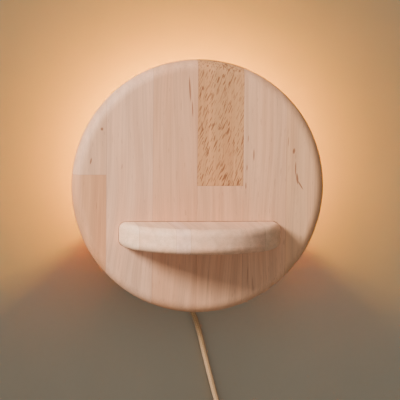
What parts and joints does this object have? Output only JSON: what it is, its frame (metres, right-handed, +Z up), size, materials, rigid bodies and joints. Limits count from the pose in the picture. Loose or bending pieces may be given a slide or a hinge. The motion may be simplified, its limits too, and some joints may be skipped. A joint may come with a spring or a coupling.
{
  "type": "wall lamp with shelf",
  "caption": "Plug-in wall lamp: a round wooden panel stands off the wall before a bulb, with a half-moon shelf through it and a textile cord with a switch.",
  "frame": {"origin": "midway between the centres of the two keyholes' round entries, on the plane of the wall", "axes": "+Z up, +Y into the wall, the room towards -Y, +X to the right as seen from the room"},
  "size_m": [0.28, 0.17, 0.675],
  "materials": {
    "panel_wood": "glued staves, fine-sanded, matt clear lacquer",
    "shelf_wood": "glued staves, fine-sanded, matt clear lacquer",
    "dowel_wood": "fluted beech",
    "zinc_steel": "bright zinc plate",
    "felt": "pressed wool felt",
    "holder_plastic": "moulded black thermoset",
    "holder_ceramic": "glazed steatite",
    "brass": "bright brass strip",
    "wire_jacket": "smooth wire insulation",
    "opal": "opal diffuser",
    "bulb_white": "smooth white plastic",
    "circuit_board": "coated circuit board",
    "bulb_nickel": "nickel-plated brass",
    "bulb_glass": "black insulating glass",
    "cord_textile": "braided sand-coloured textile",
    "switch_plastic": "moulded black plastic",
    "plunger_plastic": "smooth acetal",
    "tie_band": "woven band",
    "plug_plastic": "moulded black soft plastic",
    "pin_nickel": "nickel-plated brass"
  },
  "bodies": {
    "lamp": {"front_panel": "panel_wood", "shelf_board": "shelf_wood", "hanger_rail": "shelf_wood", "lower_spacer": "shelf_wood", "spacer_dowels": "dowel_wood", "angle_brackets": "zinc_steel", "bracket_screws": "zinc_steel", "keyhole_plates": "zinc_steel", "keyhole_screws": "zinc_steel", "cord_saddle": "zinc_steel", "saddle_screws": "zinc_steel", "holder_nipple": "zinc_steel", "nipple_washer": "zinc_steel", "nipple_nut": "zinc_steel", "terminal_screws": "zinc_steel", "switch_screws": "zinc_steel", "wall_pads": "felt", "holder_cap": "holder_plastic", "holder_body": "holder_plastic", "nipple_bush": "holder_plastic", "holder_core": "holder_ceramic", "screw_shell": "brass", "centre_contact": "brass", "side_contact": "brass", "contact_rivets": "brass", "holder_terminals": "brass", "switch_terminals": "brass", "lead_wires": "wire_jacket", "switch_wires": "wire_jacket", "lead_cord": "cord_textile", "cord_drop": "cord_textile", "cord_coil": "cord_textile", "switch_base": "switch_plastic", "switch_cover": "switch_plastic", "cord_tie": "tie_band", "plug_sleeve": "plug_plastic", "plug_body": "plug_plastic", "plug_pins": "pin_nickel"},
    "bulb_foot": {"bulb_tip": "bulb_nickel"},
    "bulb": {"bulb_dome": "opal", "bulb_collar": "bulb_white", "led_board": "circuit_board", "driver_board": "circuit_board", "bulb_cap": "bulb_nickel", "bulb_insulator": "bulb_glass"},
    "rocker": {"switch_rocker": "switch_plastic", "rocker_plunger": "plunger_plastic", "plunger_spring": "zinc_steel"},
    "contact_lever": {"contact_lever": "brass"}
  },
  "joints": [
    {"name": "bulb_lift", "type": "slide", "parent": "lamp", "child": "bulb_foot", "axis": [0, 0, 1], "range_m": [0, 0.0156]},
    {"name": "bulb_turn", "type": "hinge", "parent": "bulb_foot", "child": "bulb", "pos_m": [0, -0.027, 0.03], "axis": [0, 0, 1], "range_deg": [0, 1980]},
    {"name": "rocker_tilt", "type": "hinge", "parent": "lamp", "child": "rocker", "pos_m": [0.04, -0.018, -0.261], "axis": [1, 0, 0], "range_deg": [0, 16]},
    {"name": "lever_tilt", "type": "hinge", "parent": "lamp", "child": "contact_lever", "pos_m": [0.04, -0.0107, -0.261], "axis": [1, 0, 0], "range_deg": [-16, 0]}
  ],
  "couplings": [
    {"joint": "bulb_lift", "follows": "bulb_turn", "m_per_rad": 0.00044914},
    {"joint": "lever_tilt", "follows": "rocker_tilt", "ratio": -1}
  ]
}
